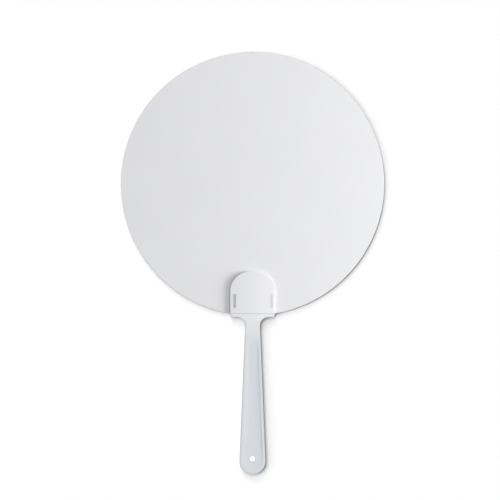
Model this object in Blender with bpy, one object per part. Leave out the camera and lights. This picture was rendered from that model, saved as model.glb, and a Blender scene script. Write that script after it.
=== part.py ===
"""Round hand fan: a die-cut plastic blade held in the head of a moulded handle by a clip-on cover.

The fan lies on its back. +Z points out of its front, +Y from the grip to the top of the blade,
and the floor is at zero. Each piece is drawn from the middle of the seam, which is the line
where the cover's lower edge meets the handle's shoulder.
"""

import math

import bmesh
import bpy
from mathutils import Vector

# Fits, in metres like every other size
CLEARANCE = 0.0003
OVERRUN = 0.001
SAME_PLACE = 0.000001
SNAP_DISTANCE = 0.00005

# Blade: a round plastic sheet with a straight foot that stands against the shoulder
BLADE_DIAMETER = 0.240
BLADE_THICKNESS = 0.0008
FOOT_OVERHANG = 0.00125
SLOT_CORNER_RADIUS = 0.0004

# Head: the outline that the cover and the plate behind the blade share
HEAD_WIDTH = 0.0405
HEAD_HEIGHT = 0.0390
HEAD_STRAIGHT_SIDE = 0.0210
PLATE_THICKNESS = 0.0020

# Cover: a crowned shell over the front of the blade
COVER_HEIGHT = 0.0034
COVER_ROOF = 0.0015
COVER_RIM = 0.0018
COVER_EDGE_RADIUS = 0.0004
CROWN_RADIUS = 0.150
SEAM_EDGE_RADIUS = 0.00025

# Windows in the cover, with the blade's slots and the hooks on the same centres
WINDOW_WIDTH = 0.0027
WINDOW_LENGTH = 0.0125
WINDOW_FROM_SIDE = 0.0037
WINDOW_FROM_SEAM = 0.0115
WINDOW_WALL = 0.0010

# Snap hooks, and the ledge in each window that they hold
HOOK_THICKNESS = 0.0010
LEDGE_HEIGHT = 0.0009
CATCH_OVERLAP = 0.0004
CATCH_LAND = 0.0002
LEAD_IN_HEIGHT = 0.0006
LEAD_IN_DEPTH = 0.0017

# Handle
SHOULDER_DEPTH = 0.0032
SHOULDER_CORNER_RADIUS = 0.0018
SHOULDER_FILLET_RADIUS = 0.0080
SHOULDER_SLOPE_LENGTH = 0.0200
GRIP_LENGTH = 0.1463
GRIP_THICKNESS = 0.0056
GRIP_NECK_WIDTH = 0.0124
GRIP_END_WIDTH = 0.0235
FRONT_EDGE_RADIUS = 0.0010
BACK_EDGE_RADIUS = 0.0008

# Dish in both faces of the grip: inside its rim a short wall steps down, then the floor
# sinks gently to its deepest point
DISH_RIM = 0.0020
DISH_WALL_WIDTH = 0.0015
DISH_WALL_DEPTH = 0.00045
DISH_FLOOR_DEPTH = 0.00075
DISH_FROM_SEAM = 0.0255
DEEPEST_FROM_SEAM = 0.0880

# Hanging hole
HOLE_DIAMETER = 0.0050
HOLE_FROM_END = 0.0139
HOLE_CHAMFER = 0.0004

# How finely round shapes are divided. The dish's rings crowd together at its wall, and the
# last one, a flat floor, lies short of the deepest point.
BLADE_STEPS = 80
DOME_STEPS = 18
END_STEPS = 12
FILLET_STEPS = 8
CORNER_STEPS = 4
EDGE_STEPS = 3
HOLE_STEPS = 32
DISH_RINGS = 8
LAST_RING_SHARE = 0.86
RING_CROWDING = 1.5
CROWN_COLUMNS = 10
SLOPE_ROWS = 8

# Plastics: colours as linear red, green, blue and alpha, with the roughness of each finish
WHITE_SHEET = (0.84, 0.85, 0.87, 1.0)
WHITE_MOULDED = (0.80, 0.80, 0.82, 1.0)
SATIN = 0.42
MATT = 0.50
SEMI_GLOSS = 0.36
SHARP_ANGLE = math.radians(30)

# Heights of the stack in the head, from the floor up
blade_seat = PLATE_THICKNESS + CLEARANCE
cover_seat = blade_seat + BLADE_THICKNESS + CLEARANCE
head_top = cover_seat + COVER_HEIGHT

# The blade's centre above the seam, where its foot is a chord just wider than the head
head_side = HEAD_WIDTH / 2
blade_radius = BLADE_DIAMETER / 2
foot_half = head_side + FOOT_OVERHANG
blade_centre = CLEARANCE + math.sqrt(blade_radius ** 2 - foot_half ** 2)

# The middle of the whole length lies over the origin
fan_top = blade_centre + blade_radius
seam_y = (GRIP_LENGTH - fan_top) / 2

# The grip is the shape that a belt makes round a small circle at the seam and a large one
# at the end, so its sides flare by this angle. The hole lies near the large circle's centre.
end_radius = GRIP_END_WIDTH / 2
end_centre = end_radius - GRIP_LENGTH
flare = math.asin((end_radius - GRIP_NECK_WIDTH / 2) / -end_centre)
flare_degrees = math.degrees(flare)
hole_y = HOLE_FROM_END - GRIP_LENGTH

# The hook's faces, as distances from the middle line, from its inner face outwards
window_x = head_side - WINDOW_FROM_SIDE
window_inner = window_x - WINDOW_WIDTH / 2
window_outer = window_x + WINDOW_WIDTH / 2
hook_inner = window_inner + CLEARANCE
hook_outer = hook_inner + HOOK_THICKNESS
bead_tip = window_outer - CLEARANCE
ledge_tip = bead_tip - CATCH_OVERLAP
catch_height = cover_seat + LEDGE_HEIGHT + CLEARANCE


def arc(centre, radii, start, end, steps):
    """Points on an elliptical arc, with its angles in degrees."""
    angles = [math.radians(start + (end - start) * step / steps) for step in range(steps + 1)]
    return [
        (centre[0] + radii[0] * math.cos(angle), centre[1] + radii[1] * math.sin(angle))
        for angle in angles
    ]


def with_left_half(right_half):
    """A whole outline from its right half, which starts and ends on the middle line."""
    return right_half + [(-x, y) for x, y in reversed(right_half[1:-1])]


def dome():
    """The right half of the head's top, from its straight side to the middle line."""
    radii = (head_side, HEAD_HEIGHT - HEAD_STRAIGHT_SIDE)
    return arc((0, HEAD_STRAIGHT_SIDE), radii, 0, 90, DOME_STEPS)


def handle_outline():
    """The handle from above: grip, shoulder and head."""
    fillet_y = -SHOULDER_DEPTH - SHOULDER_FILLET_RADIUS
    neck_x = (GRIP_NECK_WIDTH / 2 + SHOULDER_FILLET_RADIUS) / math.cos(flare)
    fillet_x = neck_x - fillet_y * math.tan(flare)
    fillet_radii = (SHOULDER_FILLET_RADIUS, SHOULDER_FILLET_RADIUS)
    corner = (head_side - SHOULDER_CORNER_RADIUS, SHOULDER_CORNER_RADIUS - SHOULDER_DEPTH)
    corner_radii = (SHOULDER_CORNER_RADIUS, SHOULDER_CORNER_RADIUS)
    right_half = arc((0, end_centre), (end_radius, end_radius), -90, flare_degrees, END_STEPS)
    right_half += arc((fillet_x, fillet_y), fillet_radii, 180 + flare_degrees, 90, FILLET_STEPS)
    right_half += arc(corner, corner_radii, -90, 0, CORNER_STEPS)
    return with_left_half(right_half + dome())


def cover_outline(inset):
    """The head above the seam, drawn in by an inset on all sides."""
    base = CLEARANCE + inset
    radii = (head_side - inset, HEAD_HEIGHT - HEAD_STRAIGHT_SIDE - inset)
    curve = arc((0, HEAD_STRAIGHT_SIDE), radii, 0, 90, DOME_STEPS)
    return with_left_half([(0, base), (head_side - inset, base)] + curve)


def blade_outline():
    """The disc with its straight foot, from above."""
    foot_angle = math.degrees(math.atan2(CLEARANCE - blade_centre, foot_half))
    radii = (blade_radius, blade_radius)
    curve = arc((0, blade_centre), radii, foot_angle, 90, BLADE_STEPS)
    return with_left_half([(0, CLEARANCE)] + curve)


def grip_half(below_seam):
    """From the grip's middle line square to its flared side, at a distance below the seam."""
    share = below_seam / -end_centre
    return GRIP_NECK_WIDTH / 2 * (1 - share) + end_radius * share


def dish_outline(share):
    """The dish's rim, drawn in towards the deepest point by a share of the way."""
    lower_radius = end_radius - DISH_RIM
    upper_radius = grip_half(DISH_FROM_SEAM) - DISH_RIM
    lower = arc((0, end_centre), (lower_radius, lower_radius), -90, flare_degrees, END_STEPS)
    upper = arc((0, -DISH_FROM_SEAM), (upper_radius, upper_radius), flare_degrees, 90, END_STEPS)
    rim = with_left_half(lower + upper)
    return [(x * (1 - share), y * (1 - share) - DEEPEST_FROM_SEAM * share) for x, y in rim]


def dish_depth(share):
    """How deep the dish is at a share of the way from its rim to the deepest point."""
    wall_share = DISH_WALL_WIDTH / (grip_half(DEEPEST_FROM_SEAM) - DISH_RIM)
    step = (1 - math.cos(math.pi * min(share / wall_share, 1))) / 2
    return DISH_WALL_DEPTH * step + DISH_FLOOR_DEPTH * (1 - (1 - share) ** 2)


def front_drop(x, y):
    """How far the front lies below the top of the head.

    The head's crown eases into the flat, thinner grip over the shoulder's slope.
    """
    along = min(max(-y / SHOULDER_SLOPE_LENGTH, 0), 1)
    ease = (1 - math.cos(math.pi * along)) / 2
    crown = x ** 2 / (2 * CROWN_RADIUS)
    return crown * (1 - ease) + (head_top - GRIP_THICKNESS) * ease


def extrude(bm, faces, move):
    """Draws faces out along a move."""
    made = bmesh.ops.extrude_face_region(bm, geom=faces)["geom"]
    carried = [item for item in made if isinstance(item, bmesh.types.BMVert)]
    bmesh.ops.translate(bm, verts=carried, vec=move)


def prism(outline, low, high):
    """A straight-sided body between two heights."""
    bm = bmesh.new()
    face = bm.faces.new([bm.verts.new((x, y, low)) for x, y in outline])
    extrude(bm, [face], (0, 0, high - low))
    bmesh.ops.recalc_face_normals(bm, faces=bm.faces)
    return bm


def loft(rings):
    """A closed body through rings of equally many points, each a list of points and a height."""
    bm = bmesh.new()
    loops = []
    for outline, height in rings:
        verts = [bm.verts.new((x, y, height)) for x, y in outline]
        pairs = zip(verts, verts[1:] + verts[:1])
        loops.append([bm.edges.new(pair) for pair in pairs])
        if height in (rings[0][1], rings[-1][1]):
            bm.faces.new(verts)
    for lower, upper in zip(loops, loops[1:]):
        bmesh.ops.bridge_loops(bm, edges=lower + upper)
    bmesh.ops.recalc_face_normals(bm, faces=bm.faces)
    return bm


def edges_at(bm, height):
    """The edges that lie at one height."""
    return [e for e in bm.edges if all(abs(v.co.z - height) < SAME_PLACE for v in e.verts)]


def round_edges(bm, edges, radius, segments):
    """Turns sharp edges into quarter rounds."""
    bmesh.ops.bevel(
        bm, geom=edges, offset=radius, offset_type="OFFSET", affect="EDGES",
        segments=segments, profile=0.5, material=-1,
    )


def round_front(bm, seam, radius):
    """Rounds the front's outer edge, and the edge along the seam only a little."""
    rim = edges_at(bm, head_top)
    outer = [e for e in rim if any(abs(v.co.y - seam) > SAME_PLACE for v in e.verts)]
    round_edges(bm, outer, radius, EDGE_STEPS)
    low = head_top - radius - SAME_PLACE
    near = [v for v in bm.verts if abs(v.co.y - seam) < SAME_PLACE and v.co.z > low]
    lip = [e for e in bm.edges if all(v in near for v in e.verts)]
    round_edges(bm, lip, SEAM_EDGE_RADIUS, 1)


def crown_front(bm, low):
    """Bends the front down to its crown and slope, easing out towards the low height."""
    columns = [head_side * (2 * n / CROWN_COLUMNS - 1) for n in range(1, CROWN_COLUMNS)]
    rows = [-SHOULDER_SLOPE_LENGTH * (1 - n / SLOPE_ROWS) for n in range(SLOPE_ROWS)]
    cuts = [((0, y, 0), (0, 1, 0)) for y in rows] + [((x, 0, 0), (1, 0, 0)) for x in columns]
    lower_end = -SHOULDER_SLOPE_LENGTH - SNAP_DISTANCE
    for place, normal in cuts:
        upper = [f for f in bm.faces if f.calc_center_median().z > low + SAME_PLACE]
        if normal[0]:
            upper = [f for f in upper if all(v.co.y > lower_end for v in f.verts)]
        edges = list(dict.fromkeys(e for f in upper for e in f.edges))
        verts = list(dict.fromkeys(v for f in upper for v in f.verts))
        bmesh.ops.bisect_plane(
            bm, geom=upper + edges + verts, dist=SNAP_DISTANCE, plane_co=place, plane_no=normal
        )
    for vert in bm.verts:
        share = max((vert.co.z - low) / (head_top - low), 0)
        vert.co.z -= share * front_drop(vert.co.x, vert.co.y)
    bmesh.ops.triangulate(bm, faces=bm.faces)


def bar(profile, length):
    """A bar of one profile, given across and up, that runs along a window."""
    bm = bmesh.new()
    start = WINDOW_FROM_SEAM - length / 2
    face = bm.faces.new([bm.verts.new((x, start, z)) for x, z in profile])
    extrude(bm, [face], (0, length, 0))
    bmesh.ops.recalc_face_normals(bm, faces=bm.faces)
    return bm


def rectangle(inner, outer, low, high):
    """A profile between two distances from the middle line and two heights."""
    return [(inner, low), (outer, low), (outer, high), (inner, high)]


def on_both_sides(bm):
    """Adds the mirror image on the other side of the middle line."""
    everything = bm.verts[:] + bm.edges[:] + bm.faces[:]
    bmesh.ops.mirror(bm, geom=everything, axis="X", merge_dist=SAME_PLACE)
    bmesh.ops.recalc_face_normals(bm, faces=bm.faces)
    return bm


def plastic(name, colour, roughness):
    """A moulded or extruded plastic."""
    material = bpy.data.materials.new(name)
    material.use_nodes = True
    shader = material.node_tree.nodes["Principled BSDF"]
    shader.inputs["Base Color"].default_value = colour
    shader.inputs["Roughness"].default_value = roughness
    shader.inputs["Metallic"].default_value = 0
    material.diffuse_color = colour
    return material


def empty(name, parent, place):
    """A point that pieces are placed by."""
    point = bpy.data.objects.new(name, None)
    bpy.context.scene.collection.objects.link(point)
    point.parent = parent
    point.location = place
    return point


def solid(name, bm, parent, height=0.0):
    """A piece whose mesh is drawn from the floor, carried by a point at the given height."""
    bmesh.ops.translate(bm, verts=bm.verts, vec=(0, 0, -height))
    mesh = bpy.data.meshes.new(name)
    bm.to_mesh(mesh)
    bm.free()
    piece = bpy.data.objects.new(name, mesh)
    bpy.context.scene.collection.objects.link(piece)
    piece.parent = parent
    return piece


def cutter(name, bm, parent, height=0.0):
    """A shape that only takes material away."""
    tool = solid(name, bm, parent, height)
    tool.hide_render = True
    tool.display_type = "WIRE"
    return tool


def cut(piece, *tools):
    """Takes each tool's shape out of a piece."""
    for tool in tools:
        boolean = piece.modifiers.new(tool.name, "BOOLEAN")
        boolean.operation = "DIFFERENCE"
        boolean.solver = "EXACT"
        boolean.object = tool


def finish(piece, material):
    """Settles a piece's cuts into its mesh, and gives it its shading and its plastic."""
    bpy.context.view_layer.update()
    evaluated = piece.evaluated_get(bpy.context.evaluated_depsgraph_get())
    piece.data = bpy.data.meshes.new_from_object(evaluated)
    piece.data.name = piece.name
    piece.modifiers.clear()
    piece.data.shade_smooth()
    piece.data.set_sharp_from_angle(angle=SHARP_ANGLE)
    piece.data.materials.clear()
    piece.data.materials.append(material)


def hole_cutter():
    """The hanging hole, with a chamfer where it meets the floor of each dish."""
    radius = HOLE_DIAMETER / 2
    wide = radius + HOLE_CHAMFER
    dish_end = DISH_RIM - GRIP_LENGTH
    low = dish_depth((hole_y - dish_end) / (-DEEPEST_FROM_SEAM - dish_end))
    high = GRIP_THICKNESS - low
    profile = [
        (0, low - OVERRUN), (wide + OVERRUN, low - OVERRUN), (radius, low + HOLE_CHAMFER),
        (radius, high - HOLE_CHAMFER), (wide + OVERRUN, high + OVERRUN), (0, high + OVERRUN),
    ]
    bm = bmesh.new()
    verts = [bm.verts.new((x, 0, z)) for x, z in profile]
    edges = [bm.edges.new(pair) for pair in zip(verts, verts[1:])]
    bmesh.ops.spin(
        bm, geom=verts + edges, cent=(0, 0, 0), axis=(0, 0, 1), angle=math.tau,
        steps=HOLE_STEPS, use_merge=True,
    )
    bmesh.ops.remove_doubles(bm, verts=bm.verts, dist=SAME_PLACE)
    bmesh.ops.recalc_face_normals(bm, faces=bm.faces)
    bmesh.ops.translate(bm, verts=bm.verts, vec=(0, hole_y, 0))
    return bm


def dish_cutter(surface, direction):
    """The hollow in one face of the grip.

    Direction is 1 for the front and -1 for the back. The first ring mirrors the second across
    the rim, so that it lies just outside the face, and the rings crowd together at the wall.
    """
    shares = [
        LAST_RING_SHARE * (ring / DISH_RINGS) ** RING_CROWDING for ring in range(1, DISH_RINGS + 1)
    ]
    rings = [(dish_outline(-shares[0]), surface + direction * dish_depth(shares[0]))]
    rings += [(dish_outline(share), surface - direction * dish_depth(share)) for share in shares]
    return loft(rings)


def handle_block():
    """The handle before its cuts: the whole outline as thick as the plate, then the front
    of the grip and the shoulder drawn up from it."""
    bm = prism(handle_outline(), 0, PLATE_THICKNESS)
    everything = bm.verts[:] + bm.edges[:] + bm.faces[:]
    bmesh.ops.bisect_plane(
        bm, geom=everything, dist=SAME_PLACE, plane_co=(0, 0, 0), plane_no=(0, 1, 0)
    )
    centres = {f: f.calc_center_median() for f in bm.faces}
    front = [f for f, c in centres.items() if c.z > PLATE_THICKNESS - SAME_PLACE and c.y < 0]
    extrude(bm, front, (0, 0, head_top - PLATE_THICKNESS))
    bmesh.ops.delete(bm, geom=[f for f in front if f.is_valid], context="FACES_ONLY")
    bmesh.ops.recalc_face_normals(bm, faces=bm.faces)
    round_front(bm, 0, FRONT_EDGE_RADIUS)
    round_edges(bm, edges_at(bm, 0), BACK_EDGE_RADIUS, EDGE_STEPS - 1)
    crown_front(bm, PLATE_THICKNESS)
    return bm


def cover_block():
    """The cover before its cuts."""
    bm = prism(cover_outline(0), cover_seat, head_top)
    round_front(bm, CLEARANCE, COVER_EDGE_RADIUS)
    crown_front(bm, cover_seat)
    return bm


def cavity_block():
    """The hollow under the cover's roof, whose ceiling follows the crown."""
    bm = prism(cover_outline(COVER_RIM), cover_seat, head_top)
    crown_front(bm, cover_seat)
    for vert in bm.verts:
        at_seat = abs(vert.co.z - cover_seat) < SAME_PLACE
        vert.co.z -= OVERRUN if at_seat else COVER_ROOF
    return bm


def make_handle(parent, material):
    """The grip, the shoulder and the plate behind the blade, moulded in one."""
    handle = solid("handle", handle_block(), parent)
    slots = rectangle(hook_outer, bead_tip + CLEARANCE, -OVERRUN, PLATE_THICKNESS + OVERRUN)
    cut(
        handle,
        cutter("core_slot_cut", on_both_sides(bar(slots, WINDOW_LENGTH)), parent),
        cutter("front_dish_cut", dish_cutter(GRIP_THICKNESS, 1), parent),
        cutter("back_dish_cut", dish_cutter(0, -1), parent),
        cutter("hanging_hole_cut", hole_cutter(), parent),
    )
    finish(handle, material)


def make_hook(name, side, parent, material):
    """One snap hook: a rib with a bead that holds the ledge in the cover's window.

    The bead's long slope pushes the hook aside while the cover goes on.
    """
    top = catch_height + CATCH_LAND + LEAD_IN_HEIGHT
    profile = [
        (hook_inner, blade_seat), (hook_outer, blade_seat), (hook_outer, catch_height),
        (bead_tip, catch_height), (bead_tip, catch_height + CATCH_LAND),
        (bead_tip - LEAD_IN_DEPTH, top), (hook_inner, top),
    ]
    placed = [(side * x, z) for x, z in profile]
    finish(solid(name, bar(placed, WINDOW_LENGTH - 2 * CLEARANCE), parent), material)


def make_blade(parent, material):
    """The die-cut sheet, with a slot for each hook."""
    top = blade_seat + BLADE_THICKNESS
    blade = solid("fan_blade", prism(blade_outline(), blade_seat, top), parent, blade_seat)
    profile = rectangle(window_inner, window_outer, blade_seat - OVERRUN, top + OVERRUN)
    bm = bar(profile, WINDOW_LENGTH)
    upright = [e for e in bm.edges if abs(e.verts[0].co.z - e.verts[1].co.z) > BLADE_THICKNESS]
    round_edges(bm, upright, SLOT_CORNER_RADIUS, 2)
    cut(blade, cutter("blade_slot_cut", on_both_sides(bm), parent, blade_seat))
    finish(blade, material)


def make_cover(parent, material):
    """The shell with its two windows, each with a ledge for a hook."""
    cover = solid("front_cover", cover_block(), parent, cover_seat)
    above = head_top + OVERRUN
    below = cover_seat - 2 * OVERRUN
    wall = rectangle(window_inner - WINDOW_WALL, head_side, below, above)
    walls = on_both_sides(bar(wall, WINDOW_LENGTH + 2 * WINDOW_WALL))
    cavity = cutter("cavity_cut", cavity_block(), parent, cover_seat)
    cut(cavity, cutter("window_wall_keep", walls, parent, cover_seat))
    ledge_top = cover_seat + LEDGE_HEIGHT
    window = [
        (window_inner, below), (ledge_tip, below), (ledge_tip, ledge_top),
        (window_outer, ledge_top), (window_outer, above), (window_inner, above),
    ]
    windows = on_both_sides(bar(window, WINDOW_LENGTH))
    cut(cover, cavity, cutter("window_cut", windows, parent, cover_seat))
    finish(cover, material)


def build():
    """Empties the scene and makes the fan."""
    for old in list(bpy.data.objects):
        bpy.data.objects.remove(old, do_unlink=True)
    seam = empty("seam", None, Vector((0, seam_y, 0)))
    blade_lift = empty("blade_lift", seam, Vector((0, 0, blade_seat)))
    cover_lift = empty("cover_lift", blade_lift, Vector((0, 0, cover_seat - blade_seat)))
    make_handle(seam, plastic("handle_white_plastic", WHITE_MOULDED, SATIN))
    make_hook("snap_hook_right", 1, seam, plastic("right_hook_plastic", WHITE_MOULDED, SATIN))
    make_hook("snap_hook_left", -1, seam, plastic("left_hook_plastic", WHITE_MOULDED, SATIN))
    make_blade(blade_lift, plastic("blade_white_sheet", WHITE_SHEET, MATT))
    make_cover(cover_lift, plastic("cover_white_plastic", WHITE_MOULDED, SEMI_GLOSS))


build()
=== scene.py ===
# %% [markdown]
# # A white plastic hand fan
#
# The fan is a round sheet of white plastic. A moulded handle holds it from behind with a flat plate,
# and a small crowned cover clips over its front on two hooks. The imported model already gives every
# piece its real size and place, but its round shapes are cut into flat facets. This lesson models
# each piece again, finely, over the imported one, and then gives it its plastic, its light and its
# camera.

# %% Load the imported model
import math

import bmesh
import bpy
from mathutils import Matrix, Vector


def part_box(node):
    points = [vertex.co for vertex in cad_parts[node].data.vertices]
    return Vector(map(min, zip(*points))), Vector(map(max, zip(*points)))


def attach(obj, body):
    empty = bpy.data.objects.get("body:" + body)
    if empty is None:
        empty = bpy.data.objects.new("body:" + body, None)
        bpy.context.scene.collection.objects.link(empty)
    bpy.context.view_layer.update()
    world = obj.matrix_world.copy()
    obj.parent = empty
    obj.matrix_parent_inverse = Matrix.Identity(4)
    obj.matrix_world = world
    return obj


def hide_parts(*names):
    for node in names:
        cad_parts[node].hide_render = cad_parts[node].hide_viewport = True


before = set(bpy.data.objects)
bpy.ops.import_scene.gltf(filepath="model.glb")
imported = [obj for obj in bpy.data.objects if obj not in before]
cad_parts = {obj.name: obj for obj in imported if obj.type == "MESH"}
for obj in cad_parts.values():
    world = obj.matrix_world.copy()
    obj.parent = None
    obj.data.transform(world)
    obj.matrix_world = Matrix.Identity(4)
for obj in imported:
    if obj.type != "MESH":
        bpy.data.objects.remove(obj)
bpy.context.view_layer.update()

MM = 0.001
SAME_PLACE = 0.001 * MM

# %% [markdown]
# ## Sizes
#
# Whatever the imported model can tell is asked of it, so that the new pieces stay where it has them.
# Each node's box gives its two opposite corners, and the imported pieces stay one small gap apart. All
# outlines are drawn from the middle of the seam, the line where the cover's lower edge meets the
# handle's shoulder, and moved to it at the end.

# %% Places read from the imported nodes
blade_low, blade_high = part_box("fan_blade")
cover_low, cover_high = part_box("front_cover")
handle_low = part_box("handle")[0]
hook_low, hook_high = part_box("snap_hook_right")

PACKED_GAP = 0.3 * MM
seam_y = cover_low.y - PACKED_GAP
head_half = cover_high.x
head_height = cover_high.y - seam_y
head_top = cover_high.z
plate_top = blade_low.z - PACKED_GAP
grip_length = seam_y - handle_low.y
blade_radius = (blade_high.x - blade_low.x) / 2
blade_thickness = blade_high.z - blade_low.z
print("blade radius, mm:", round(blade_radius / MM, 2), "grip length, mm:", round(grip_length / MM, 1))

# %% The windows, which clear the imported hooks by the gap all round
window_inner = hook_low.x - PACKED_GAP
window_outer = hook_high.x + PACKED_GAP
window_start = hook_low.y - PACKED_GAP - seam_y
window_end = hook_high.y + PACKED_GAP - seam_y
window_width = window_outer - window_inner
window_length = window_end - window_start
print("window, mm:", round(window_width / MM, 2), "by", round(window_length / MM, 2))

# %% [markdown]
# ## Drawing an outline with a pen
#
# An outline could be typed as a list of points, but a list hides what the shape is. Here one vertex
# is a pen. Extruding it draws a straight edge, and spinning it round a centre draws an arc. Only the
# right half is drawn. The mirror operator adds the left half, and a face fills the loop.

# %% Pen strokes
def verts_in(things):
    """The vertices among the things that an operator made."""
    return [thing for thing in things if isinstance(thing, bmesh.types.BMVert)]


def pen_down(bm, x, y):
    """Starts an outline at a place, from the seam's middle."""
    return bm.verts.new((x, y, 0))


def line_to(bm, pen, x, y, z=0):
    """Draws a straight edge and returns the pen at its new place."""
    moved = bmesh.ops.extrude_vert_indiv(bm, verts=[pen])["verts"][0]
    moved.co = (x, y, z)
    return moved


def arc_round(bm, pen, centre, degrees, steps):
    """Draws an arc round a centre, anticlockwise where the angle is positive."""
    spun = bmesh.ops.spin(
        bm, geom=[pen], cent=(*centre, 0), axis=(0, 0, 1),
        angle=math.radians(degrees), steps=steps,
    )
    return verts_in(spun["geom_last"])[0]


# %% Mirroring and filling the outline
def all_of(bm):
    """Every vertex, edge and face of a mesh."""
    return bm.verts[:] + bm.edges[:] + bm.faces[:]


def mirror_across_middle(bm):
    """Adds the mirror image on the other side of the middle line, with every face outwards."""
    bmesh.ops.mirror(bm, geom=all_of(bm), axis="X", merge_dist=SAME_PLACE)
    bmesh.ops.recalc_face_normals(bm, faces=bm.faces)


def close_outline(bm, height):
    """Completes a right half outline, fills it and lifts it to a height."""
    mirror_across_middle(bm)
    bmesh.ops.contextual_create(bm, geom=bm.edges[:])
    bmesh.ops.translate(bm, verts=bm.verts, vec=(0, 0, height))


# %% [markdown]
# ## Working on a solid
#
# These few tools do the rest: draw faces out into a solid, turn a sharp edge into a round one, cut
# one solid out of another, and hand the finished mesh to the scene. A Boolean modifier makes the
# cuts, because a slot through a sheet is simplest to think of as a bar taken away. Its result is
# kept as the piece's own mesh, and the bar is deleted.

# %% Draw out, pick edges and round them
# A bevel with this profile is a quarter of a circle
ROUND_PROFILE = 0.5


def draw_out(bm, faces, way):
    """Extrudes faces along a vector."""
    made = bmesh.ops.extrude_face_region(bm, geom=faces)["geom"]
    bmesh.ops.translate(bm, verts=verts_in(made), vec=way)


def edges_at(bm, height):
    """The edges that lie at one height."""
    return [e for e in bm.edges if all(abs(v.co.z - height) < SAME_PLACE for v in e.verts)]


def round_edges(bm, edges, radius, steps):
    """Turns sharp edges into quarter rounds, each of a number of flat steps."""
    bmesh.ops.bevel(
        bm, geom=edges, offset=radius, offset_type="OFFSET", affect="EDGES",
        segments=steps, profile=ROUND_PROFILE, material=-1,
    )


# %% Bars, for slots and windows
def bar(low, high):
    """A box between two corners."""
    bm = bmesh.new()
    bmesh.ops.create_cube(bm, size=1)
    low, high = Vector(low), Vector(high)
    bmesh.ops.scale(bm, verts=bm.verts, vec=high - low)
    bmesh.ops.translate(bm, verts=bm.verts, vec=(low + high) / 2)
    return bm


def upright_edges(bm):
    """The edges that stand straight up."""
    return [e for e in bm.edges if (e.verts[0].co - e.verts[1].co).xy.length < SAME_PLACE]


# %% From a bmesh to an object, and cutting one object out of another
def to_object(name, bm):
    """Moves a mesh from the seam's middle to its place in the frame and links it as an object."""
    bmesh.ops.translate(bm, verts=bm.verts, vec=(0, seam_y, 0))
    bmesh.ops.recalc_face_normals(bm, faces=bm.faces)
    mesh = bpy.data.meshes.new(name)
    bm.to_mesh(mesh)
    bm.free()
    thing = bpy.data.objects.new(name, mesh)
    bpy.context.scene.collection.objects.link(thing)
    return thing


def cut(piece, bm):
    """Takes a shape out of a piece and keeps the result as the piece's own mesh."""
    tool = to_object("tool", bm)
    boolean = piece.modifiers.new("cut", "BOOLEAN")
    boolean.operation = "DIFFERENCE"
    boolean.solver = "EXACT"
    boolean.object = tool
    evaluated = piece.evaluated_get(bpy.context.evaluated_depsgraph_get())
    piece.data = bpy.data.meshes.new_from_object(evaluated)
    piece.modifiers.clear()
    bpy.data.objects.remove(tool)


# %% [markdown]
# ## The blade
#
# The blade is stamped from sheet with a steel rule die. The die rolls the front edge over a little
# and leaves the back edge sharper. A circle with a filled face is the sheet. A bisecting plane trims
# the straight foot that stands on the shoulder, and the face is drawn out to the sheet's thickness.

# %% Stamp the blade
BLADE_SEGMENTS = 320
DIE_ROLL = 0.22 * MM
DIE_ROLL_STEPS = 3
DIE_BURR = 0.05 * MM
DIE_BURR_STEPS = 1

blade_bm = bmesh.new()
bmesh.ops.create_circle(blade_bm, cap_ends=True, segments=BLADE_SEGMENTS, radius=blade_radius)
blade_centre = blade_high.y - blade_radius - seam_y
bmesh.ops.translate(blade_bm, verts=blade_bm.verts, vec=(0, blade_centre, blade_low.z))
bmesh.ops.bisect_plane(
    blade_bm, geom=all_of(blade_bm), dist=SAME_PLACE,
    plane_co=(0, blade_low.y - seam_y, 0), plane_no=(0, -1, 0), clear_outer=True,
)
draw_out(blade_bm, blade_bm.faces[:], (0, 0, blade_thickness))
round_edges(blade_bm, edges_at(blade_bm, blade_high.z), DIE_ROLL, DIE_ROLL_STEPS)
round_edges(blade_bm, edges_at(blade_bm, blade_low.z), DIE_BURR, DIE_BURR_STEPS)
blade = to_object("die_cut_blade", blade_bm)

# %% Stamp its two slots for the hooks
SLOT_CORNER = 0.2 * MM
SLOT_CORNER_STEPS = 4
OVERRUN = 1 * MM

slots = bar(
    (window_inner, window_start, blade_low.z - OVERRUN),
    (window_outer, window_end, blade_high.z + OVERRUN),
)
round_edges(slots, upright_edges(slots), SLOT_CORNER, SLOT_CORNER_STEPS)
mirror_across_middle(slots)
cut(blade, slots)
print("blade faces:", len(blade.data.polygons))

# %% [markdown]
# ## The handle's outline
#
# Seen from above, the grip is the shape that a belt takes round a small pulley at the neck and a
# larger one at the end, so its sides flare by a small angle. A concave fillet runs from each side
# into the square shoulder, and above the seam the head ends in half an ellipse. A circle is spun for
# that too, and then flattened.

# %% Widths, lengths and radii, read from the photograph at its scale
NECK_WIDTH = 12.4 * MM
END_WIDTH = 23.5 * MM
SHOULDER_DEPTH = 3.2 * MM
SHOULDER_CORNER = 1.8 * MM
SHOULDER_FILLET = 8.0 * MM
STRAIGHT_SIDE = 21.0 * MM
END_STEPS = 40
FILLET_STEPS = 20
CORNER_STEPS = 10
DOME_STEPS = 40

end_radius = END_WIDTH / 2
end_centre = end_radius - grip_length
flare = math.degrees(math.asin((end_radius - NECK_WIDTH / 2) / -end_centre))
print("the grip's sides flare by", round(flare, 2), "degrees")


# %% Draw it
def draw_dome(bm, pen, half, straight_side, height):
    """Draws the head's top: a quarter circle, flattened to its height."""
    arc_round(bm, pen, (0, straight_side), 90, DOME_STEPS)
    dome = [v for v in bm.verts if v.co.y > straight_side + SAME_PLACE]
    flatten = (height - straight_side) / half
    pivot = Matrix.Translation((0, -straight_side, 0))
    bmesh.ops.scale(bm, verts=dome, vec=(1, flatten, 1), space=pivot)


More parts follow.
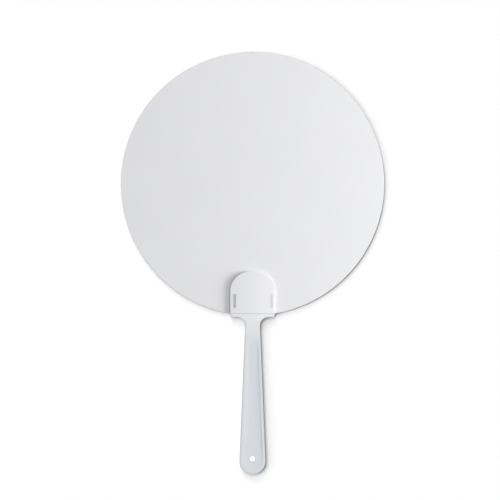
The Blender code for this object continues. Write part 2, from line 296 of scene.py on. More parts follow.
def draw_handle():
    """The handle's outline as one face at the floor."""
    bm = bmesh.new()
    slant = math.radians(flare)
    fillet_y = -SHOULDER_DEPTH - SHOULDER_FILLET
    fillet_x = (NECK_WIDTH / 2 + SHOULDER_FILLET) / math.cos(slant) - fillet_y * math.tan(slant)
    pen = pen_down(bm, 0, end_centre - end_radius)
    pen = arc_round(bm, pen, (0, end_centre), 90 + flare, END_STEPS)
    pen = line_to(
        bm, pen, fillet_x - SHOULDER_FILLET * math.cos(slant),
        fillet_y - SHOULDER_FILLET * math.sin(slant),
    )
    pen = arc_round(bm, pen, (fillet_x, fillet_y), -90 - flare, FILLET_STEPS)
    pen = line_to(bm, pen, head_half - SHOULDER_CORNER, -SHOULDER_DEPTH)
    corner = (head_half - SHOULDER_CORNER, SHOULDER_CORNER - SHOULDER_DEPTH)
    pen = arc_round(bm, pen, corner, 90, CORNER_STEPS)
    pen = line_to(bm, pen, head_half, STRAIGHT_SIDE)
    draw_dome(bm, pen, head_half, STRAIGHT_SIDE, head_height)
    close_outline(bm, 0)
    return bm


# %% [markdown]
# ## The handle's body
#
# The outline is drawn out to the thickness of the plate, and below the seam its front goes on up to
# the top of the head. The front edges get a broad round and the back edges a small one. Then the
# front is cut into strips, and a formula lowers each point: the head is crowned from side to side,
# like a very large cylinder, and that crown eases into the thinner, flat grip below the shoulder.

# %% Thicknesses and rounds
GRIP_THICKNESS = 5.6 * MM
FRONT_ROUND = 1.0 * MM
FRONT_ROUND_STEPS = 8
SEAM_ROUND = 0.18 * MM
SEAM_ROUND_STEPS = 3
BACK_ROUND = 0.8 * MM
BACK_ROUND_STEPS = 5
CROWN_RADIUS = 150 * MM
SLOPE_LENGTH = 20 * MM
CROWN_STRIPS = 22
SLOPE_STRIPS = 14
CUT_REACH = 0.02 * MM

# A cut very near a line between two strips would leave slivers, so the lines keep off the windows
strip = 2 * head_half / CROWN_STRIPS
for window_edge in (window_inner, window_outer):
    room_left = abs(window_edge - strip * round(window_edge / strip))
    print("from a window's edge to the nearest strip line, mm:", round(room_left / MM, 2))


def front_drop(x, y):
    """How far the front lies below the top of the head."""
    along = min(max(-y / SLOPE_LENGTH, 0), 1)
    ease = (1 - math.cos(math.pi * along)) / 2
    return x ** 2 / (2 * CROWN_RADIUS) * (1 - ease) + (head_top - GRIP_THICKNESS) * ease


# %% Round the front, and lower it to its crown
def round_front(bm, lip_y, radius):
    """Rounds the front's edge by a radius, and the lip along the seam only a little."""
    rim = edges_at(bm, head_top)
    outer = [e for e in rim if any(abs(v.co.y - lip_y) > SAME_PLACE for v in e.verts)]
    round_edges(bm, outer, radius, FRONT_ROUND_STEPS)
    low = head_top - radius - SAME_PLACE
    near = [v for v in bm.verts if abs(v.co.y - lip_y) < SAME_PLACE and v.co.z > low]
    lip = [e for e in bm.edges if all(v in near for v in e.verts)]
    round_edges(bm, lip, SEAM_ROUND, SEAM_ROUND_STEPS)


def crown_front(bm, low):
    """Cuts the front above the grip into strips, and lowers all of it by the formula.

    A cut that passes a point by less than its reach goes through the point instead.
    """
    across = [head_half * (2 * n / CROWN_STRIPS - 1) for n in range(1, CROWN_STRIPS)]
    along = [-SLOPE_LENGTH * n / SLOPE_STRIPS for n in range(SLOPE_STRIPS, -1, -1)]
    planes = [((0, y, 0), (0, 1, 0)) for y in along] + [((x, 0, 0), (1, 0, 0)) for x in across]
    for place, normal in planes:
        front = [
            f for f in bm.faces
            if f.calc_center_median().z > low + SAME_PLACE
            and (normal[1] or min(v.co.y for v in f.verts) > -SLOPE_LENGTH - SAME_PLACE)
        ]
        # A dictionary keeps each edge and point once, and in order
        edges = dict.fromkeys(e for f in front for e in f.edges)
        verts = dict.fromkeys(v for f in front for v in f.verts)
        bmesh.ops.bisect_plane(
            bm, geom=front + list(edges) + list(verts), dist=CUT_REACH,
            plane_co=place, plane_no=normal,
        )
    for vert in bm.verts:
        share = max((vert.co.z - low) / (head_top - low), 0)
        vert.co.z -= share * front_drop(vert.co.x, vert.co.y)


# %% [markdown]
# ## The scoop in the grip
#
# Both faces of the grip are scooped out, which keeps the plastic's wall even and gives the thumb a
# place. The scoop's rim is the grip's own belt shape drawn in by a few millimetres. Inside it a short
# wall steps down, and then the floor sinks gently. Each smaller ring is the rim shrunk towards the
# deepest point, so the step is short at the sides and long at the two ends. Extruding the rim and
# shrinking the new edges, ring after ring, makes a clean surface that a Boolean cut would not.

# %% The scoop's sizes
SCOOP_RIM = 2.0 * MM
SCOOP_WALL_WIDTH = 1.5 * MM
SCOOP_WALL_DEPTH = 0.45 * MM
SCOOP_FLOOR_DEPTH = 0.75 * MM
SCOOP_START = 25.5 * MM
SCOOP_DEEPEST = 88 * MM
SCOOP_RINGS = 26
LAST_RING_SHARE = 0.86
RING_CROWDING = 1.5
SCOOP_END_STEPS = 32
SCOOP_SIDE_STEPS = 28
SCOOP_TOP_STEPS = 24


def grip_half(below_seam):
    """From the grip's middle line square to its flared side, at a distance below the seam."""
    share = below_seam / -end_centre
    return NECK_WIDTH / 2 * (1 - share) + end_radius * share


def scoop_depth(share):
    """The depth at a share of the way from the rim to the deepest point."""
    wall_share = SCOOP_WALL_WIDTH / (grip_half(SCOOP_DEEPEST) - SCOOP_RIM)
    step = (1 - math.cos(math.pi * min(share / wall_share, 1))) / 2
    return SCOOP_WALL_DEPTH * step + SCOOP_FLOOR_DEPTH * (1 - (1 - share) ** 2)


# %% Draw its rim and sink its rings
def draw_scoop_rim(bm, level):
    """Adds the rim's edges at a level, and returns them."""
    before = set(bm.verts)
    slant = math.radians(flare)
    upper = grip_half(SCOOP_START) - SCOOP_RIM
    lower = end_radius - SCOOP_RIM
    pen = pen_down(bm, 0, end_centre - lower)
    pen = arc_round(bm, pen, (0, end_centre), 90 + flare, SCOOP_END_STEPS)
    side_top = (upper * math.cos(slant), upper * math.sin(slant) - SCOOP_START)
    side_start = pen.co.xy.copy()
    for step in range(1, SCOOP_SIDE_STEPS + 1):
        place = side_start.lerp(Vector(side_top), step / SCOOP_SIDE_STEPS)
        pen = line_to(bm, pen, *place)
    arc_round(bm, pen, (0, -SCOOP_START), 90 - flare, SCOOP_TOP_STEPS)
    drawn = [v for v in bm.verts if v not in before]
    edges = [e for e in bm.edges if e.verts[0] not in before]
    bmesh.ops.mirror(bm, geom=drawn + edges, axis="X", merge_dist=SAME_PLACE)
    for vert in bm.verts:
        if vert not in before:
            vert.co.z = level
    return [e for e in bm.edges if e.verts[0] not in before]


def sink_scoop(bm, level, direction):
    """Opens the flat face of the grip at a level, and sinks the scoop into it.

    Direction is 1 for the front and -1 for the back.
    """
    flat = max(
        (f for f in bm.faces if all(abs(v.co.z - level) < SAME_PLACE for v in f.verts)),
        key=lambda face: face.calc_area(),
    )
    border = flat.edges[:]
    bmesh.ops.delete(bm, geom=[flat], context="FACES_ONLY")
    ring = draw_scoop_rim(bm, level)
    bmesh.ops.triangle_fill(bm, use_beauty=True, edges=border + ring, normal=(0, 0, direction))
    pivot = Matrix.Translation((0, SCOOP_DEEPEST, 0))
    done = 0.0
    for step in range(1, SCOOP_RINGS + 1):
        share = LAST_RING_SHARE * (step / SCOOP_RINGS) ** RING_CROWDING
        made = bmesh.ops.extrude_edge_only(bm, edges=ring)["geom"]
        verts = verts_in(made)
        inner = set(verts)
        ring = [
            item for item in made
            if isinstance(item, bmesh.types.BMEdge) and all(v in inner for v in item.verts)
        ]
        shrink = (1 - share) / (1 - done)
        bmesh.ops.scale(bm, verts=verts, vec=(shrink, shrink, 1), space=pivot)
        sink = scoop_depth(share) - scoop_depth(done)
        bmesh.ops.translate(bm, verts=verts, vec=(0, 0, -direction * sink))
        done = share
    bmesh.ops.contextual_create(bm, geom=ring)


# %% [markdown]
# ## The hanging hole and the slots in the plate
#
# The hole is a turned shape: half of its profile is drawn with the pen and spun a full turn. It is
# wider at both ends, which leaves a chamfer where it meets each scoop. The slots in the plate lie
# under the beads of the hooks. The mould needs them, because steel comes up through them to form
# the underside of each bead.

# %% The tool for the hole
HOLE_RADIUS = 2.5 * MM
HOLE_FROM_END = 13.9 * MM
HOLE_CHAMFER = 0.4 * MM
HOLE_STEPS = 48

hole_y = HOLE_FROM_END - grip_length
# Each ring is the rim shrunk by a share, so the ring through the hole tells how deep the scoop is
hole_share = 1 - (-SCOOP_DEEPEST - hole_y) / (grip_length - SCOOP_RIM - SCOOP_DEEPEST)
hole_sink = scoop_depth(hole_share)
print("the scoop at the hole is", round(hole_sink / MM, 2), "mm deep")


def hole_tool():
    """A spool that is the hole with its two chamfers."""
    low, high = hole_sink, GRIP_THICKNESS - hole_sink
    wide = HOLE_RADIUS + HOLE_CHAMFER + OVERRUN
    bm = bmesh.new()
    pen = bm.verts.new((0, hole_y, low - OVERRUN))
    strokes = [
        (wide, low - OVERRUN), (HOLE_RADIUS, low + HOLE_CHAMFER),
        (HOLE_RADIUS, high - HOLE_CHAMFER), (wide, high + OVERRUN), (0, high + OVERRUN),
    ]
    for x, z in strokes:
        pen = line_to(bm, pen, x, hole_y, z)
    bmesh.ops.spin(
        bm, geom=bm.verts[:] + bm.edges[:], cent=(0, hole_y, 0), axis=(0, 0, 1),
        angle=math.tau, steps=HOLE_STEPS, use_merge=True,
    )
    bmesh.ops.remove_doubles(bm, verts=bm.verts, dist=SAME_PLACE)
    bmesh.ops.recalc_face_normals(bm, faces=bm.faces)
    return bm


# %% Build the handle
handle_bm = draw_handle()
draw_out(handle_bm, handle_bm.faces[:], (0, 0, plate_top))
bmesh.ops.bisect_plane(
    handle_bm, geom=all_of(handle_bm), dist=SAME_PLACE, plane_co=(0, 0, 0), plane_no=(0, 1, 0)
)
below_seam = [
    f for f in handle_bm.faces
    if f.calc_center_median().z > plate_top - SAME_PLACE and f.calc_center_median().y < 0
]
draw_out(handle_bm, below_seam, (0, 0, head_top - plate_top))
# The face that was drawn out stays behind, inside the solid, so it is deleted
bmesh.ops.delete(handle_bm, geom=below_seam, context="FACES_ONLY")
round_front(handle_bm, 0, FRONT_ROUND)
round_edges(handle_bm, edges_at(handle_bm, 0), BACK_ROUND, BACK_ROUND_STEPS)
crown_front(handle_bm, plate_top)
sink_scoop(handle_bm, GRIP_THICKNESS, 1)
sink_scoop(handle_bm, 0, -1)
handle = to_object("moulded_handle", handle_bm)

# %% Cut its hole and its slots
BEAD_CORE = 1.4 * MM
cores = bar(
    (window_outer - BEAD_CORE, window_start, -OVERRUN),
    (window_outer, window_end, plate_top + OVERRUN),
)
mirror_across_middle(cores)
cut(handle, cores)
cut(handle, hole_tool())
print("handle faces:", len(handle.data.polygons))

# %% [markdown]
# ## The snap hooks
#
# Each hook is a thin rib with a bead along its top. The flat underside of the bead holds the ledge
# in the cover's window, and its slanted top pushes the hook aside while the cover goes on. On the
# real fan the hook is one with the plate, so its foot goes down to it here.
#
# The profile is drawn with the pen and extruded along the window. The same operator closes it and
# fills it: two points become an edge, and a closed loop of edges becomes a face. Given only the
# points of the loop, it would guess their order, and get it wrong at the corner under the bead.

# %% Build both hooks
HOOK_THICKNESS = 1.0 * MM
BEAD_LAND = 0.2 * MM
LEAD_IN_HEIGHT = 0.6 * MM
LEAD_IN_WIDTH = 2.2 * MM
HOOK_ROUND = 0.06 * MM
HOOK_ROUND_STEPS = 2
HOOK_PLAY = 0.05 * MM

catch_z = hook_high.z - LEAD_IN_HEIGHT - BEAD_LAND
inner_x, outer_x = window_inner + HOOK_PLAY, window_outer - HOOK_PLAY
start_y, end_y = window_start + HOOK_PLAY, window_end - HOOK_PLAY


def make_hook(name, side):
    """One hook, on the left where side is -1 and on the right where it is 1."""
    bm = bmesh.new()
    strokes = [
        (inner_x + HOOK_THICKNESS, plate_top), (inner_x + HOOK_THICKNESS, catch_z),
        (outer_x, catch_z), (outer_x, catch_z + BEAD_LAND),
        (outer_x - LEAD_IN_WIDTH, hook_high.z), (inner_x, hook_high.z),
    ]
    start = bm.verts.new((side * inner_x, start_y, plate_top))
    pen = start
    for x, z in strokes:
        pen = line_to(bm, pen, side * x, start_y, z)
    bmesh.ops.contextual_create(bm, geom=[pen, start])
    bmesh.ops.contextual_create(bm, geom=bm.edges[:])
    draw_out(bm, bm.faces[:], (0, end_y - start_y, 0))
    bmesh.ops.recalc_face_normals(bm, faces=bm.faces)
    upper = [e for e in bm.edges if max(v.co.z for v in e.verts) > plate_top + SAME_PLACE]
    round_edges(bm, upper, HOOK_ROUND, HOOK_ROUND_STEPS)
    return to_object(name, bm)


hook_left = make_hook("clip_hook_left", -1)
hook_right = make_hook("clip_hook_right", 1)
print("hook height, mm:", round((hook_high.z - plate_top) / MM, 2))

# %% [markdown]
# ## The front cover
#
# The cover is a shell. Its outer form is the head's outline drawn out, rounded and crowned in the
# same way as the shoulder, so the two read as one surface across the seam. The hollow under its roof
# is a smaller copy of that form, and two bars of material are left standing in it as walls round
# the windows. Each window narrows to a ledge at the blade, which the hook's bead holds.

# %% The cover's sizes
ROOF = 1.5 * MM
RIM = 1.8 * MM
COVER_ROUND = 0.2 * MM
WINDOW_WALL = 1.0 * MM
LEDGE_HEIGHT = 0.9 * MM
LEDGE_REACH = 0.7 * MM
WINDOW_CORNER = 0.2 * MM
WINDOW_CORNER_STEPS = 4
SEAM_GAP = 0.12 * MM
SEAT_GAP = 0.05 * MM

cover_seat = blade_high.z + SEAT_GAP
print("the cover stands over the blade by, mm:", round((head_top - blade_high.z) / MM, 2))


# %% Its outer form and its hollow
def cover_block(inset):
    """The head above the seam, drawn in by an inset, from the blade to the top."""
    bm = bmesh.new()
    half = head_half - inset
    pen = pen_down(bm, 0, SEAM_GAP + inset)
    pen = line_to(bm, pen, half, SEAM_GAP + inset)
    pen = line_to(bm, pen, half, STRAIGHT_SIDE)
    draw_dome(bm, pen, half, STRAIGHT_SIDE, head_height - inset)
    close_outline(bm, cover_seat)
    draw_out(bm, bm.faces[:], (0, 0, head_top - cover_seat))
    bmesh.ops.recalc_face_normals(bm, faces=bm.faces)
    return bm


cover_bm = cover_block(0)
round_front(cover_bm, SEAM_GAP, COVER_ROUND)
crown_front(cover_bm, cover_seat)
cover = to_object("crowned_cover", cover_bm)

hollow_bm = cover_block(RIM)
crown_front(hollow_bm, cover_seat)
for vert in hollow_bm.verts:
    at_blade = abs(vert.co.z - cover_seat) < SAME_PLACE
    vert.co.z -= OVERRUN if at_blade else ROOF
hollow = to_object("hollow", hollow_bm)

# %% Leave the window walls in the hollow, then cut the hollow and the windows
below, above = cover_seat - 2 * OVERRUN, head_top + OVERRUN
walls = bar(
    (window_inner - WINDOW_WALL, window_start - WINDOW_WALL, below),
    (head_half, window_end + WINDOW_WALL, above),
)
mirror_across_middle(walls)
cut(hollow, walls)

hollow_bm = bmesh.new()
hollow_bm.from_mesh(hollow.data)
bmesh.ops.translate(hollow_bm, verts=hollow_bm.verts, vec=(0, -seam_y, 0))
bpy.data.objects.remove(hollow)
cut(cover, hollow_bm)

window = bar(
    (window_inner, window_start, cover_low.z + LEDGE_HEIGHT), (window_outer, window_end, above)
)
round_edges(window, upright_edges(window), WINDOW_CORNER, WINDOW_CORNER_STEPS)
mirror_across_middle(window)
cut(cover, window)
throat = bar(
    (window_inner, window_start, below),
    (window_outer - LEDGE_REACH, window_end, cover_low.z + LEDGE_HEIGHT + OVERRUN),
)
mirror_across_middle(throat)
cut(cover, throat)
print("cover faces:", len(cover.data.polygons))

# %% [markdown]
# ## Small rounds and smooth shading
#
# No moulded edge is truly sharp, and a thin bright line along an edge is what makes plastic look
# real. The bevel operator rounds the rims of the windows, once the cuts have made them. Every piece
# is then shaded smooth, except across edges sharper than an angle. The flats between the rounds are
# big faces, so the Weighted Normal modifier lets the larger faces decide, and they stay flat.

# %% Round the rims of the windows
WINDOW_ROUND = 0.12 * MM
WINDOW_ROUND_STEPS = 3
NEAR_WINDOW = 1 * MM
SHARP_ANGLE = math.radians(35)


def soften(piece, radius, steps, chosen):
    """Rounds the sharp edges of a finished piece that a test picks."""
    bm = bmesh.new()
    bm.from_mesh(piece.data)
    sharp = [e for e in bm.edges if e.is_manifold and e.calc_face_angle() > SHARP_ANGLE]
    picked = [e for e in sharp if all(chosen(v.co) for v in e.verts)]
    round_edges(bm, picked, radius, steps)
    bm.to_mesh(piece.data)
    bm.free()
    print(piece.name, "has", len(picked), "edges rounded")


def on_window_rim(place):
    """Whether a point lies on the rim of a window in the cover's front."""
    across, along = abs(place.x), place.y - seam_y
    beside = window_inner - NEAR_WINDOW < across < window_outer + NEAR_WINDOW
    level_with = window_start - NEAR_WINDOW < along < window_end + NEAR_WINDOW
    return beside and level_with and place.z > head_top - ROOF


soften(cover, WINDOW_ROUND, WINDOW_ROUND_STEPS, on_window_rim)

# %% Shade every piece smooth
pieces = [handle, hook_left, hook_right, blade, cover]
for piece in pieces:
    piece.data.shade_smooth()
    piece.data.set_sharp_from_angle(angle=SHARP_ANGLE)
    weigh = piece.modifiers.new("weigh_normals", "WEIGHTED_NORMAL")
    weigh.keep_sharp = True
    print(piece.name, "is shaded smooth")

# %% [markdown]
# ## Putting each piece on its body
#
# A piece rides on one of the imported model's bodies, so that it moves when a joint does, and the
# imported node that it stands for is hidden.

# %% Ride and replace
roles = [
    (handle, "handle", "handle", "handle_plastic"),
    (hook_left, "handle", "snap_hook_left", "hook_plastic"),
    (hook_right, "handle", "snap_hook_right", "hook_plastic"),
    (blade, "blade", "fan_blade", "blade_sheet"),
    (cover, "cover", "front_cover", "cover_plastic"),
]
for piece, body, node, finish in roles:
    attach(piece, body)
    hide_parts(node)
    print(piece.name, "rides on", body)

# %% [markdown]
# ## Materials
#
# All three finishes are polypropylene coloured white. It is slightly waxy: a little light goes in
# and comes out nearby, red a little further off than blue, and its gloss is soft. What sets the
# finishes apart is how each surface was made. Every pattern is worked out from a real size in
# millimetres and read from Object coordinates, which are metres here, so a grain of so many metres
# has a scale of one over that number.

# %% Colours and nodes
def linear(hex_colour):
    """An sRGB hex colour as linear red, green, blue and alpha."""
    channels = [int(hex_colour[place:place + 2], 16) / 255 for place in (1, 3, 5)]
    return [c / 12.92 if c <= 0.04045 else ((c + 0.055) / 1.055) ** 2.4 for c in channels] + [1]


def add_node(tree, kind, settings=(), inputs=()):
    """Adds a node. Settings are its options, and an input is a value or another node's output."""
    node = tree.nodes.new("ShaderNode" + kind)
    for name, value in dict(settings).items():
        setattr(node, name, value)
    for name, value in dict(inputs).items():
        if isinstance(value, bpy.types.NodeSocket):
            tree.links.new(value, node.inputs[name])
        else:
            node.inputs[name].default_value = value
    return node


# %% [markdown]
# Every finish is put together from the same few steps: ask where a point lies, make a grain, blend
# two colours, spread a grain over a range of roughness, and raise the surface by a grain. The Mix
# node has several sockets of the same name, one for each kind of data, so its factor and its two
# colours are picked by number, and so is its colour output.

# %% The steps of a finish
FACTOR, FIRST_COLOUR, SECOND_COLOUR, MIXED = 0, 6, 7, 2
WAVE_DETAIL = 1.0
GRAIN_DETAIL = 2.0


def object_place(tree):
    """Where a point lies, in metres, from the object's origin."""
    return add_node(tree, "TexCoord").outputs["Object"]


def grain(tree, size, stretch=(1, 1, 1), detail=GRAIN_DETAIL):
    """A random pattern with grains of a real size, drawn out along an axis by a stretch."""
    scale = [1 / (size * share) for share in stretch]
    scaled = add_node(tree, "Mapping", inputs={"Vector": object_place(tree), "Scale": scale})
    return add_node(tree, "TexNoise", inputs={
        "Vector": scaled.outputs["Vector"], "Scale": 1.0, "Detail": detail,
    }).outputs["Fac"]


def blend(tree, share, first, second):
    """The first colour where the share is 0, and the second where it is 1."""
    return add_node(tree, "Mix", {"data_type": "RGBA"}, {
        FACTOR: share, FIRST_COLOUR: first, SECOND_COLOUR: second,
    }).outputs[MIXED]


def spread(tree, pattern, low_to_high):
    """A pattern from 0 to 1, spread over a range."""
    return add_node(tree, "MapRange", inputs={
        "Value": pattern, "To Min": low_to_high[0], "To Max": low_to_high[1],
    }).outputs["Result"]


def raised(tree, pattern, height, under=None):
    """The surface's direction, once a pattern has raised it by a real height."""
    inputs = {"Height": pattern, "Distance": height}
    if under:
        inputs["Normal"] = under
    return add_node(tree, "Bump", inputs=inputs).outputs["Normal"]


# %% White polypropylene, before its finish
POLYPROPYLENE_IOR = 1.49
WAXY_SHARE = 0.10
WAXY_DEPTH = 0.8 * MM
WAXY_COLOUR_SHARES = (1.0, 0.95, 0.9)


def polypropylene(name, roughness_range):
    """A white polypropylene with its even values, and its node tree and shader for the finish."""
    material = bpy.data.materials.new(name)
    material.use_nodes = True
    shader = material.node_tree.nodes["Principled BSDF"]
    shader.inputs["IOR"].default_value = POLYPROPYLENE_IOR
    shader.inputs["Metallic"].default_value = 0
    shader.inputs["Roughness"].default_value = sum(roughness_range) / 2
    shader.inputs["Subsurface Weight"].default_value = WAXY_SHARE
    shader.inputs["Subsurface Radius"].default_value = WAXY_COLOUR_SHARES
    shader.inputs["Subsurface Scale"].default_value = WAXY_DEPTH
    return material, material.node_tree, shader


# %% [markdown]
# ### Extruded polypropylene sheet, for the blade
#
# The sheet is squeezed through a long slot and over matt rollers. The rollers print an even, fine
# grain that kills the gloss, the slot leaves very faint lines along the sheet, and cooling leaves
# it a little wavy, which shows as soft, wide changes of shade. The same waves also paint a faint
# shade into its colour. The die shears the edge and stretches the plastic there, which turns it a
# touch whiter.

# %% The sheet's finish
# The two sheet colours are painted shade: the colour goes lighter and darker with the sheet's waves
WAVE_PAINTED_SHADES = ("#EAEAEB", "#EEEEF0")
SHEARED_WHITE = "#F2F3F5"
SHEET_WAVE = 45 * MM
SHEET_WAVE_HEIGHT = 0.10 * MM
DIE_LINE = 3 * MM
DIE_LINE_STRETCH = (1, 80, 1)
DIE_LINE_HEIGHT = 0.0012 * MM
ROLLER_GRAIN = 0.7 * MM
ROLLER_GRAIN_HEIGHT = 0.006 * MM
ROLLED_ROUGHNESS = (0.46, 0.58)
SHEARED_WIDTH = 0.25 * MM


def extruded_sheet():
    """White polypropylene sheet with matt rollers' grain.

    The grain is drawn twice as coarse as the real one, so that it shows from near by.
    """
    material, tree, shader = polypropylene("extruded_polypropylene_sheet", ROLLED_ROUGHNESS)
    wave = grain(tree, SHEET_WAVE, detail=WAVE_DETAIL)
    lines = grain(tree, DIE_LINE, stretch=DIE_LINE_STRETCH)
    rollers = grain(tree, ROLLER_GRAIN)
    from_centre = add_node(tree, "VectorMath", {"operation": "DISTANCE"}, {
        0: object_place(tree), 1: (0, seam_y + blade_centre, (blade_low.z + blade_high.z) / 2),
    })
    sheared = add_node(tree, "MapRange", inputs={
        "Value": from_centre.outputs["Value"],
        "From Min": blade_radius - SHEARED_WIDTH, "From Max": blade_radius - SHEARED_WIDTH / 2,
    })
    # Painted shade: the colour follows the sheet's waves
    shaded = blend(tree, wave, linear(WAVE_PAINTED_SHADES[0]), linear(WAVE_PAINTED_SHADES[1]))
    edged = blend(tree, sheared.outputs["Result"], shaded, linear(SHEARED_WHITE))
    waved = raised(tree, wave, SHEET_WAVE_HEIGHT)
    lined = raised(tree, lines, DIE_LINE_HEIGHT, waved)
    rolled = raised(tree, rollers, ROLLER_GRAIN_HEIGHT, lined)
    tree.links.new(edged, shader.inputs["Base Color"])
    tree.links.new(spread(tree, rollers, ROLLED_ROUGHNESS), shader.inputs["Roughness"])
    tree.links.new(rolled, shader.inputs["Normal"])
    return material


# %% [markdown]
# ### Moulded polypropylene, for the handle, the hooks and the cover
#
# The mould's steel was spark-eroded, and its tiny craters give the plastic a satin finish. The
# plastic shrinks as it cools, so wide surfaces are never quite flat. Where the wall is thin, as in
# the grip, light passes into the shade behind, and the white looks cooler and greyer than it does
# over the thick, backed head; that greyer white is painted shade in the colour. The cover's mould
# was polished further, so its gloss is a little clearer and its grain finer.

# %% The moulded finishes
BACKED_WHITE = "#F2F2F3"
# Painted shade: below the seam the colour turns greyer and cooler, for the shade in the thin grip
PAINTED_SHADE_GRIP_WHITE = "#DFE3E7"
PAINTED_SHADE_BELOW_SEAM = 34 * MM
SPARK_GRAIN = 0.6 * MM
SATIN_GRAIN_HEIGHT = 0.006 * MM
SATIN_ROUGHNESS = (0.44, 0.54)
POLISHED_GRAIN_HEIGHT = 0.002 * MM
POLISHED_ROUGHNESS = (0.42, 0.50)
SHRINK_WAVE = 14 * MM
SHRINK_HEIGHT = 0.02 * MM


def moulded(name, roughness_range, grain_height):
    """White moulded polypropylene, with painted shade that greys it from the seam to the thin grip.

    The grain is drawn twice as coarse as the real one, so that it shows from near by.
    """
    material, tree, shader = polypropylene(name, roughness_range)
    # Painted shade: the colour blends from the backed white at the seam to a greyer white on the grip
    along = add_node(tree, "SeparateXYZ", inputs={0: object_place(tree)})
    painted_shade_share = add_node(tree, "MapRange", {"interpolation_type": "SMOOTHSTEP"}, {
        "Value": along.outputs["Y"], "From Min": seam_y, "From Max": seam_y - PAINTED_SHADE_BELOW_SEAM,
    })
    colour = blend(tree, painted_shade_share.outputs["Result"], linear(BACKED_WHITE), linear(PAINTED_SHADE_GRIP_WHITE))
    sparks = grain(tree, SPARK_GRAIN)
    shrunk = raised(tree, grain(tree, SHRINK_WAVE, detail=WAVE_DETAIL), SHRINK_HEIGHT)
    sparked = raised(tree, sparks, grain_height, shrunk)
    tree.links.new(colour, shader.inputs["Base Color"])
    tree.links.new(spread(tree, sparks, roughness_range), shader.inputs["Roughness"])
    tree.links.new(sparked, shader.inputs["Normal"])
    return material


# %% Give each piece its finish
satin = moulded("satin_moulded_polypropylene", SATIN_ROUGHNESS, SATIN_GRAIN_HEIGHT)
polished = moulded("semi_gloss_moulded_polypropylene", POLISHED_ROUGHNESS, POLISHED_GRAIN_HEIGHT)
finishes = [satin, satin, satin, extruded_sheet(), polished]
for piece, material in zip(pieces, finishes):
    piece.data.materials.clear()
    piece.data.materials.append(material)
    print(piece.name, "is", material.name)

# %% [markdown]
# ## Floor and light
#
# The photograph's background is pure white. The cover throws a soft shadow to the left across the
# blade, as under a lamp on the right, but the shadow on the floor is narrow and lies at the lower
# right, as under a lamp at the upper left. No single lamp gives both. So the world gives a little
# under half of the fan's light, evenly, and the rest comes from lamps that are linked to what they
# light: large soft ones on the right for the fan, and suns at the upper left for the floor.
#
# The floor is matt paper. Its suns light it up to white, with a little glow of its own to help, and
# so its shadow stays. Right under the hanging hole it glows fully, a painted spot of light, because
# the hole is pure white in the photograph. Only the camera and any gloss or glass see it like this.
# All other light finds it darker and without the glow, so what it throws back at the fan doesn't
# wash out the shade under the rims.

# %% The floor's sheet
FLOOR_HALF = 4.0

floor_bm = bmesh.new()
bmesh.ops.create_grid(floor_bm, x_segments=1, y_segments=1, size=FLOOR_HALF)
floor_mesh = bpy.data.meshes.new("floor")
floor_bm.to_mesh(floor_mesh)
floor_bm.free()
floor = bpy.data.objects.new("floor", floor_mesh)
bpy.context.scene.collection.objects.link(floor)
print("floor width, m:", 2 * FLOOR_HALF)


# %% What the camera and the gloss see
def seen_or_mirrored(tree):
    """1 for a ray from the camera, or for one that a gloss or a glass sends on, and 0 otherwise."""
    rays = add_node(tree, "LightPath").outputs
    either = add_node(tree, "Math", {"operation": "MAXIMUM"}, {
        0: rays["Is Camera Ray"], 1: rays["Is Glossy Ray"],
    })
    return add_node(tree, "Math", {"operation": "MAXIMUM"}, {
        0: either.outputs["Value"], 1: rays["Is Transmission Ray"],
    }).outputs["Value"]


# %% The floor's paper
FLOOR_GREY = "#909090"
FLOOR_GLOW = 0.06
HOLE_GLOW = 0.94
HOLE_GLOW_RADIUS = 3.5 * MM
FLOOR_BOUNCE = "#666666"

paper = bpy.data.materials.new("matt_paper_floor")
paper.use_nodes = True
paper.node_tree.nodes.clear()
tree = paper.node_tree
shown = seen_or_mirrored(tree)
# Painted light: a round spot of the floor under the hanging hole glows fully
from_hole = add_node(tree, "VectorMath", {"operation": "DISTANCE"}, {
    0: object_place(tree), 1: (0, seam_y + hole_y, 0),
})
under_hole = add_node(tree, "Math", {"operation": "LESS_THAN"}, {
    0: from_hole.outputs["Value"], 1: HOLE_GLOW_RADIUS,
})
glow_here = add_node(tree, "Math", {"operation": "MULTIPLY_ADD"}, {
    0: under_hole.outputs["Value"], 1: HOLE_GLOW, 2: FLOOR_GLOW,
})
glow = add_node(tree, "Emission", inputs={"Strength": glow_here.outputs["Value"]})
matt = add_node(tree, "BsdfDiffuse", inputs={"Color": linear(FLOOR_GREY)})
both = add_node(tree, "AddShader", inputs={0: matt.outputs["BSDF"], 1: glow.outputs["Emission"]})
dim = add_node(tree, "BsdfDiffuse", inputs={"Color": linear(FLOOR_BOUNCE)})
paper_surface = add_node(tree, "MixShader", inputs={
    0: shown, 1: dim.outputs["BSDF"], 2: both.outputs["Shader"],
})
add_node(tree, "OutputMaterial", inputs={"Surface": paper_surface.outputs["Shader"]})
floor.data.materials.append(paper)
print(paper.name, "glows by", FLOOR_GLOW, "and under the hole by", FLOOR_GLOW + HOLE_GLOW)

# %% The world's even light, which is a white room to the camera and the gloss
WORLD_LIGHT = 0.39
WORLD_TINT = "#FCFDFF"

world = bpy.data.worlds.new("studio")
bpy.context.scene.world = world
world.use_nodes = True
world.node_tree.nodes.clear()
tree = world.node_tree
room = add_node(tree, "Background", inputs={"Color": linear(WORLD_TINT), "Strength": WORLD_LIGHT})
white = add_node(tree, "Background", inputs={"Color": (1, 1, 1, 1), "Strength": 1.0})
sky = add_node(tree, "MixShader", inputs={
    0: seen_or_mirrored(tree), 1: room.outputs["Background"], 2: white.outputs["Background"],
})
add_node(tree, "OutputWorld", inputs={"Surface": sky.outputs["Shader"]})
print("world light:", WORLD_LIGHT)


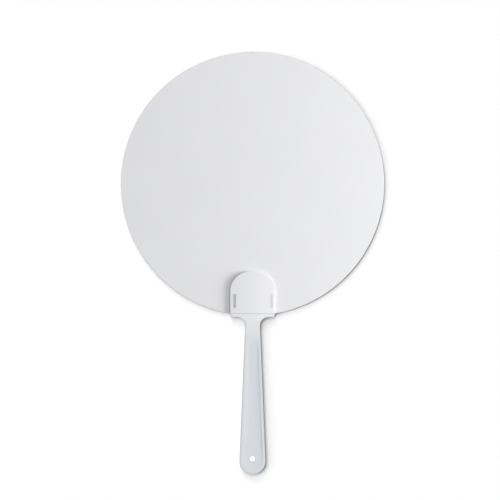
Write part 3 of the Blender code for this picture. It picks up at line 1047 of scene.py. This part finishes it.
# %% A lamp that lights only what it is meant for
def place_lamp(name, kind, elevation, azimuth, distance, lit):
    """A lamp that shines on the origin and lights only the objects in a list."""
    light = bpy.data.lights.new(name, kind)
    holder = bpy.data.objects.new(name, light)
    bpy.context.scene.collection.objects.link(holder)
    up, round_it = math.radians(elevation), math.radians(azimuth)
    level = math.cos(up)
    towards = Vector((level * math.cos(round_it), level * math.sin(round_it), math.sin(up)))
    holder.location = distance * towards
    holder.rotation_euler = towards.to_track_quat("Z", "Y").to_euler()
    group = bpy.data.collections.new(name + "_lights")
    for thing in lit:
        group.objects.link(thing)
    holder.light_linking.receiver_collection = group
    return light


# %% [markdown]
# The key lamp is high and lights all but the left hook. The low lamp rakes across the blade, and the
# cover stands in its way, which makes the soft shadow on the left. The cover and the handle have
# higher lamps instead, because a raking one would draw a hard white line along their right edges. In
# the photograph the right hook is nearly as pale as the cover round it, and the left one is an even
# grey, so each hook has a lamp of its own. The left one's is weak and nearly overhead.

# %% Soft lamps for the fan
# Each row gives the name, elevation and azimuth in degrees, distance and width in metres, watts,
# and the pieces that it lights.
SOFT_LAMPS = [
    ("key_lamp", 60, 0, 2.0, 1.0, 8, [handle, hook_right, blade, cover]),
    ("left_hook_lamp", 84, 0, 2.0, 1.0, 4, [hook_left]),
    ("grip_lamp", 70, 0, 2.0, 1.0, 13.5, [handle]),
    ("right_hook_lamp", 74, 0, 2.0, 1.0, 9.5, [hook_right]),
    ("cover_lamp", 44, 4, 1.5, 0.75, 11, [cover]),
    ("low_lamp", 18, 4, 1.5, 0.75, 27.5, [blade]),
]
for name, elevation, azimuth, distance, width, watts, lit in SOFT_LAMPS:
    light = place_lamp(name, "AREA", elevation, azimuth, distance, lit)
    light.shape = "DISK"
    light.size = width
    light.energy = watts
    print(name, "lights", [thing.name for thing in lit])

# %% [markdown]
# The photograph's shadow on the floor is a dark line along the edge with a faint tail outside it,
# and it hugs the blade and the grip from the upper right round to the lower left. A high sun throws
# a narrow, dark shadow and a low one a long, faint one, so three high suns side by side draw the
# line and two low ones the tail.

# %% The floor's own suns
# Each row gives an elevation, the azimuths in degrees, and the strength of each sun.
FLOOR_SUNS = [
    (66, (100, 147, 194), 2.25),
    (34, (105, 190), 2.96),
]
SUN_WIDTH = math.radians(30)
SUN_DISTANCE = 2.0

for elevation, azimuths, strength in FLOOR_SUNS:
    for azimuth in azimuths:
        name = "floor_sun_" + str(elevation) + "_" + str(azimuth)
        sun = place_lamp(name, "SUN", elevation, azimuth, SUN_DISTANCE, [floor])
        sun.energy = strength
        sun.angle = SUN_WIDTH
        print(name, "lights the floor")

# %% [markdown]
# ## Camera
#
# The photograph was taken from straight above, through a long lens. One pixel of it is 0.912 mm at
# the blade, and the places of the grip's axis and of the seam in it fix where the camera stands.

# %% Hang the camera over the fan
PHOTO_PIXELS = 500
PIXEL_SIZE = 0.912 * MM
AXIS_PIXEL, SEAM_PIXEL = 252.5, 313.6
CAMERA_DISTANCE = 2.6
SENSOR_WIDTH = 36

camera_data = bpy.data.cameras.new("camera")
camera = bpy.data.objects.new("camera", camera_data)
bpy.context.scene.collection.objects.link(camera)
bpy.context.scene.camera = camera
camera_data.sensor_width = SENSOR_WIDTH
camera_data.lens = SENSOR_WIDTH * CAMERA_DISTANCE / (PHOTO_PIXELS * PIXEL_SIZE)
camera.location = (
    (PHOTO_PIXELS / 2 - AXIS_PIXEL) * PIXEL_SIZE,
    seam_y + (SEAM_PIXEL - PHOTO_PIXELS / 2) * PIXEL_SIZE,
    blade_high.z + CAMERA_DISTANCE,
)
bpy.context.scene.view_settings.view_transform = "Standard"
print("lens, mm:", round(camera_data.lens, 1))
